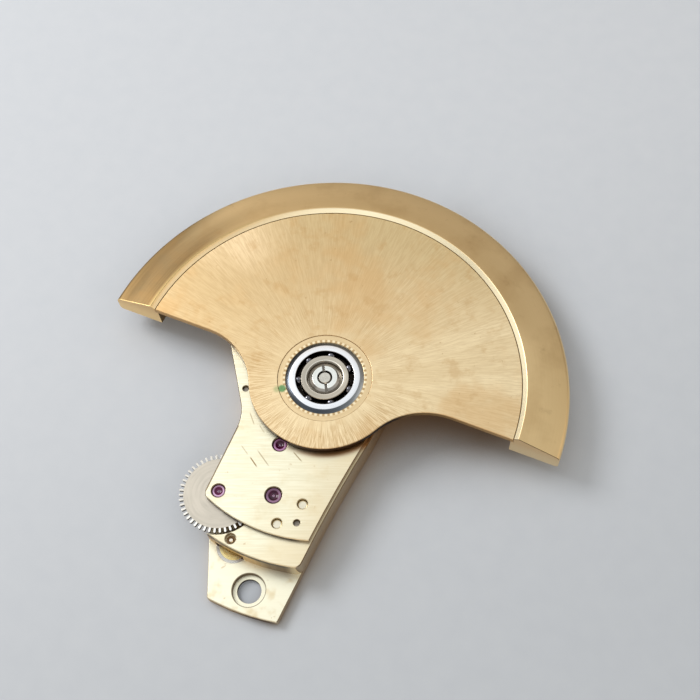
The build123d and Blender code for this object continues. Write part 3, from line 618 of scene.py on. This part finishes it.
def finish_mesh(name, mesh_points, faces, sharp, look, body, replaced):
    """Mesh piece on its body, smooth except at its sharp edges."""
    mesh = bpy.data.meshes.new(name)
    mesh.from_pydata([[value * MM for value in point] for point in mesh_points], [], faces)
    mesh.polygons.foreach_set("use_smooth", [True] * len(mesh.polygons))
    for edge in mesh.edges:
        if tuple(sorted(edge.vertices)) in sharp:
            edge.use_edge_sharp = True
    piece = bpy.data.objects.new(name, mesh)
    bpy.context.collection.objects.link(piece)
    mesh.materials.append(look)
    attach(piece, body)
    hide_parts(*replaced)


def lathe(name, section, look, body, replaced, centre=(0.0, 0.0), steps=160, cut_y=None):
    """Ring of a section of radius and height points; cut_y keeps only what lies beyond it."""
    count = len(section)
    corners = [corner_deg(section[index - 1], section[index], section[(index + 1) % count])
               for index in range(count)]
    rows = steps if cut_y is None else steps + 1
    mesh_points = []
    for row in range(rows):
        for radius, height in section:
            low = 0.0 if cut_y is None else math.asin(cut_y / radius)
            sweep = 2 * math.pi if cut_y is None else math.pi - 2 * low
            turn = low + sweep * row / steps
            mesh_points.append((centre[0] + radius * math.cos(turn),
                                centre[1] + radius * math.sin(turn), height))
    faces = []
    sharp = set()
    for row in range(steps):
        after = (row + 1) % rows
        for index in range(count):
            other = (index + 1) % count
            faces.append((row * count + index, after * count + index,
                          after * count + other, row * count + other))
            if corners[index] > SHARP_DEG:
                sharp.add(tuple(sorted((row * count + index, after * count + index))))
    if cut_y is not None:
        last = steps * count
        faces.append(tuple(range(count)))
        faces.append(tuple(last + index for index in reversed(range(count))))
        for index in range(count):
            other = (index + 1) % count
            sharp.add(tuple(sorted((index, other))))
            sharp.add(tuple(sorted((last + index, last + other))))
    finish_mesh(name, mesh_points, faces, sharp, look, body, replaced)


def arc(centre, radius, start_deg, end_deg, count):
    """Points on an arc of a section."""
    turns = [math.radians(start_deg + (end_deg - start_deg) * index / count)
             for index in range(count + 1)]
    return [(centre[0] + radius * math.cos(turn), centre[1] + radius * math.sin(turn))
            for turn in turns]


def balls(name, count, radius, start_deg, rings=14, around=24, pole_gap=0.01):
    """Smooth balls on the bearing's circle, as one piece, with a small flat at each pole."""
    mesh_points = []
    faces = []
    for ball in range(count):
        turn = math.radians(start_deg + 360 * ball / count)
        middle = (BALL_CIRCLE_R * math.cos(turn), BALL_CIRCLE_R * math.sin(turn), BALL_Z)
        first = len(mesh_points)
        for ring in range(rings + 1):
            tilt = math.pi * (pole_gap + (1 - 2 * pole_gap) * ring / rings)
            for step in range(around):
                spin = 2 * math.pi * step / around
                mesh_points.append((
                    middle[0] + radius * math.sin(tilt) * math.cos(spin),
                    middle[1] + radius * math.sin(tilt) * math.sin(spin),
                    middle[2] + radius * math.cos(tilt),
                ))
        for ring in range(rings):
            for step in range(around):
                here = first + ring * around + step
                side = first + ring * around + (step + 1) % around
                faces.append((here, here + around, side + around, side))
        faces.append(tuple(first + step for step in range(around)))
        last = first + rings * around
        faces.append(tuple(last + step for step in reversed(range(around))))
    finish_mesh(name, mesh_points, faces, set(), metals["ball_metal"], "ball_set",
                ["bearing_balls"])


lathe("rim_dressed", [
    (9.93, 1.20), (12.38, 1.20), (12.494, 1.314),
    *arc((12.214, 1.976), 0.28, 0, 75, 8),
    *arc((10.30, 2.728), 0.06, 75, 136, 6),
    (10.075, 2.595), (10.075, 2.28), (9.93, 2.28),
], metals["rotor_rim_metal"], "rotor", ["rotor_rim"],
      steps=240, cut_y=RIM_END_Y)

lathe("bush_dressed", [
    (2.03, 2.14), (2.75, 2.14), (2.75, 2.28), (2.44, 2.28), (2.44, 2.548), (2.428, 2.56),
    (2.045, 2.56), (2.03, 2.545),
], metals["bush_metal"], "rotor", ["hub_bush"], steps=200)

lathe("ring_dressed", [
    (1.50, 0.92), (1.74, 0.92), (1.74, 1.22), (2.03, 1.22), (2.03, 1.98), (2.30, 1.98),
    (2.30, 2.14), (2.03, 2.14), (2.03, 2.525), (2.015, 2.538), (1.812, 2.613), (1.795, 2.62),
    (1.53, 2.62), (1.505, 2.60), *arc((BALL_CIRCLE_R, BALL_Z), GROOVE_R, 64, -64, 8),
], metals["ring_metal"], "rotor", ["bearing_outer_ring"])

lathe("cone_dressed", [
    (0.51, 2.25), (0.51, 2.36), (0.872, 2.36), (0.90, 2.44), (0.935, 2.56), (0.955, 2.592),
    (0.98, 2.60), (1.215, 2.60), (1.24, 2.575),
    *arc((BALL_CIRCLE_R, BALL_Z), GROOVE_R, 116, 180, 5),
], metals["cone_metal"], "bridge", ["bearing_upper_cone"], steps=120)

for name, (x, y, radius) in JEWELS.items():
    lathe(f"{name}_stone", [
        (0.082, 1.76), (radius, 1.76), (radius, 1.945), (radius - 0.012, 1.965),
        (radius - 0.035, 1.978), (radius * 0.66, 1.98), (radius * 0.58, 1.968),
        (radius * 0.45, 1.938), (radius * 0.33, 1.924), (0.082, 1.92),
    ], rubies[name], "bridge", [f"{name}_upper_jewel"], (x, y), 64)

balls("balls_dressed", BALL_COUNT, BALL_R, FIRST_BALL_DEG)


# Floor


FLOOR_SIZE = 3.0
FLOOR_DROP_MM = 0.02
OCCLUSION_REACH_MM = 5.5


def floor_look(tree):
    """Pale paper with painted shade darkening it to the lower right, and a painted brown shadow
    close beside the object, where an occlusion node finds it hidden.
    """
    here = tree.add("ShaderNodeTexCoord").outputs["Object"]
    x, y = tree.add("ShaderNodeSeparateXYZ", {0: here}).outputs[:2]
    grain = tree.noise(here, 900.0, 2.0, 0.5)
    along = tree.minus(tree.times(x, 0.70), tree.times(y, 0.71))
    light = tree.mix(grain, (199, 204, 211), (205, 209, 215))
    deep = tree.mix(grain, (185, 190, 197), (191, 196, 202))
    occlusion = tree.add("ShaderNodeAmbientOcclusion", {"Distance": OCCLUSION_REACH_MM * MM},
                         samples=16).outputs["AO"]
    # Painted shadow beside the bridge's right side.
    beside = tree.times(tree.ramp(x, 0.0005, 0.003), tree.fade(x, 0.008, 0.012))
    hidden = tree.fade(occlusion, 0.30, 0.95, 0.66, smooth=False)
    deepest = tree.fade(occlusion, 0.15, 0.65, 0.8, smooth=False)
    base = tree.lay(tree.mix(tree.ramp(along, -0.016, 0.024), light, deep),
                    (tree.times(hidden, beside), (112, 96, 72)),
                    (tree.times(deepest, beside), (128, 88, 34)))
    return {"Base Color": base, "Metallic": 0.0,
            "Roughness": tree.ramp(grain, 0.0, 1.0, 0.7, 0.8), "Specular IOR Level": 0.2}


bpy.ops.mesh.primitive_plane_add(size=FLOOR_SIZE, location=(0.0, 0.0, -FLOOR_DROP_MM * MM))
floor = bpy.context.object
floor.name = "floor"
floor.data.materials.append(material("floor_paper", floor_look))


# Light


# Bright patches of sky: direction, degrees where each starts and is full, and strength
SKY_LOBES = (
    ((-0.34, 0.30, 0.89), 52, 12, 0.62), ((0.30, -0.84, 0.45), 30, 8, 0.95),
    ((-0.28, -0.82, 0.47), 26, 8, 0.75), ((0.74, -0.35, 0.51), 24, 8, 0.5),
    ((-0.93, -0.28, 0.24), 28, 10, 0.6), ((0.88, 0.26, 0.38), 34, 10, 0.7),
)
HORIZON_GLOW = 0.26
LOW_SKY = (1.0, 0.84, 0.66, 1.0)
HIGH_SKY = (0.94, 0.98, 1.0, 1.0)
HORIZON_SKY = (0.93, 0.97, 1.0, 1.0)

scene = bpy.context.scene
world = bpy.data.worlds.new("soft_room")
scene.world = world
world.use_nodes = True
sky = Tree(world.node_tree)
sky.nodes.clear()
look_dir = sky.add("ShaderNodeTexCoord").outputs["Generated"]


def sky_lobe(middle, wide_deg, narrow_deg, strength):
    """Soft bright patch of sky about a direction."""
    facing = sky.add("ShaderNodeVectorMath", {0: look_dir, 1: Vector(middle).normalized()},
                     operation="DOT_PRODUCT")
    wide, narrow = (math.cos(math.radians(angle)) for angle in (wide_deg, narrow_deg))
    return sky.ramp(facing.outputs["Value"], wide, narrow, end=strength)


height = sky.add("ShaderNodeSeparateXYZ", {0: look_dir}).outputs[2]
glow = sky.ramp(height, 0.15, 0.75, 0.12, 0.44)
for lobe in SKY_LOBES:
    glow = sky.plus(glow, sky_lobe(*lobe))
horizon = sky.fade(height, 0.04, 0.10)
glow = sky.plus(glow, sky.times(horizon, HORIZON_GLOW))
tone = sky.lay(sky.mix(sky.ramp(height, 0.25, 0.95), LOW_SKY, HIGH_SKY),
               (horizon, HORIZON_SKY))
backdrop = sky.add("ShaderNodeBackground", {"Color": tone, "Strength": glow})
sky_out = sky.add("ShaderNodeOutputWorld")
sky.links.new(backdrop.outputs[0], sky_out.inputs["Surface"])


def soft_lamp(name, place, target, size, power):
    """Round area lamp at a place, aimed at a target."""
    lamp = bpy.data.lights.new(name, "AREA")
    lamp.shape = "DISK"
    lamp.size = size
    lamp.energy = power
    item = bpy.data.objects.new(name, lamp)
    bpy.context.collection.objects.link(item)
    item.location = place
    aim = Vector(target) - Vector(place)
    item.rotation_euler = aim.to_track_quat("-Z", "Y").to_euler()


soft_lamp("window", place=(-0.126, 0.016, 0.123), target=(0, 0, 0), size=0.08, power=0.155)


# Camera, fitted to the photo: its focal length in pixels, place and axes


PHOTO_PX = 700.0
FOCAL_PX = 1071.0
SENSOR_MM = 36.0
CAMERA_MM = Vector((12.600, -20.172, 52.117))
RIGHT = Vector((0.9198, 0.3895, -0.0492))
UP = Vector((-0.3277, 0.8308, 0.4499))
BACK = RIGHT.cross(UP)

camera_data = bpy.data.cameras.new("camera")
camera_data.lens = SENSOR_MM * FOCAL_PX / PHOTO_PX
camera_data.sensor_width = SENSOR_MM
camera_data.sensor_height = SENSOR_MM
camera_data.clip_start = 0.002
camera_data.clip_end = 5.0
camera = bpy.data.objects.new("camera", camera_data)
bpy.context.collection.objects.link(camera)
turn = Matrix((RIGHT, UP, BACK)).transposed().to_4x4()
camera.matrix_world = Matrix.Translation(CAMERA_MM * MM) @ turn
scene.camera = camera
scene.view_settings.view_transform = "Standard"
